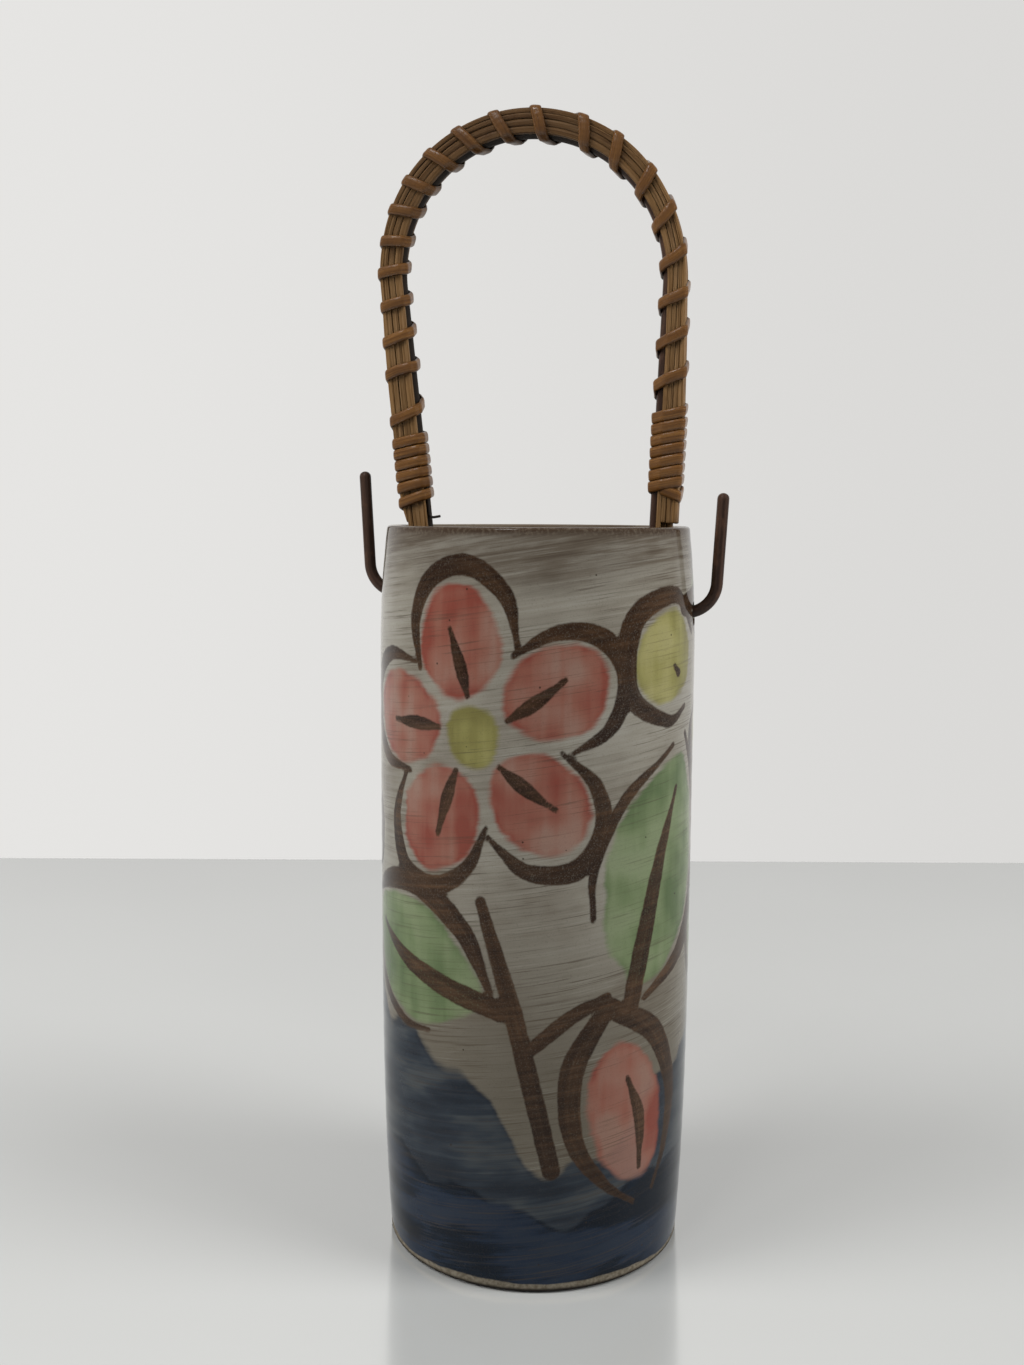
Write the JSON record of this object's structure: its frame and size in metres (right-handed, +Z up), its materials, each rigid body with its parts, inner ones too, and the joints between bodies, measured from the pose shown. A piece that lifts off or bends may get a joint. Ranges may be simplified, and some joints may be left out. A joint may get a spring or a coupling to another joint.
{
  "type": "ikebana vase",
  "caption": "Tall cylindrical stoneware flower vase with a rattan-bound wire bail whose ends hook out through holes below the rim.",
  "frame": {"origin": "centre of the foot, on the surface that the vase stands on", "axes": "+Z up along the vase's axis, +X towards the right hook seen from the front, -Y towards the front"},
  "size_m": [0.0928, 0.078, 0.2793],
  "materials": {
    "stoneware": "satin glaze over brushed slip with painted colours",
    "dark_wire": "dark brown lacquered iron wire",
    "rattan_strip": "split rattan, matt",
    "rattan_cane": "rattan cane skin, satin",
    "tie_wire": "dark annealed iron wire"
  },
  "bodies": {
    "vase": {"vase_body": "stoneware"},
    "bail": {"bail_wire": "dark_wire", "handle_strip_01": "rattan_strip", "handle_strip_02": "rattan_strip", "handle_strip_03": "rattan_strip", "handle_strip_04": "rattan_strip", "handle_strip_05": "rattan_strip", "handle_strip_06": "rattan_strip", "handle_strip_07": "rattan_strip", "handle_strip_08": "rattan_strip", "handle_strip_09": "rattan_strip", "handle_strip_10": "rattan_strip", "handle_strip_11": "rattan_strip", "handle_strip_12": "rattan_strip", "handle_strip_13": "rattan_strip", "handle_strip_14": "rattan_strip", "wrapping_cane": "rattan_cane", "tie_wire": "tie_wire"}
  },
  "joints": [
    {"name": "bail_swing", "type": "hinge", "parent": "vase", "child": "bail", "pos_m": [0.00009, 0, 0.16115], "axis": [0.9987, 0, -0.0506], "range_deg": [-7, 7]}
  ]
}
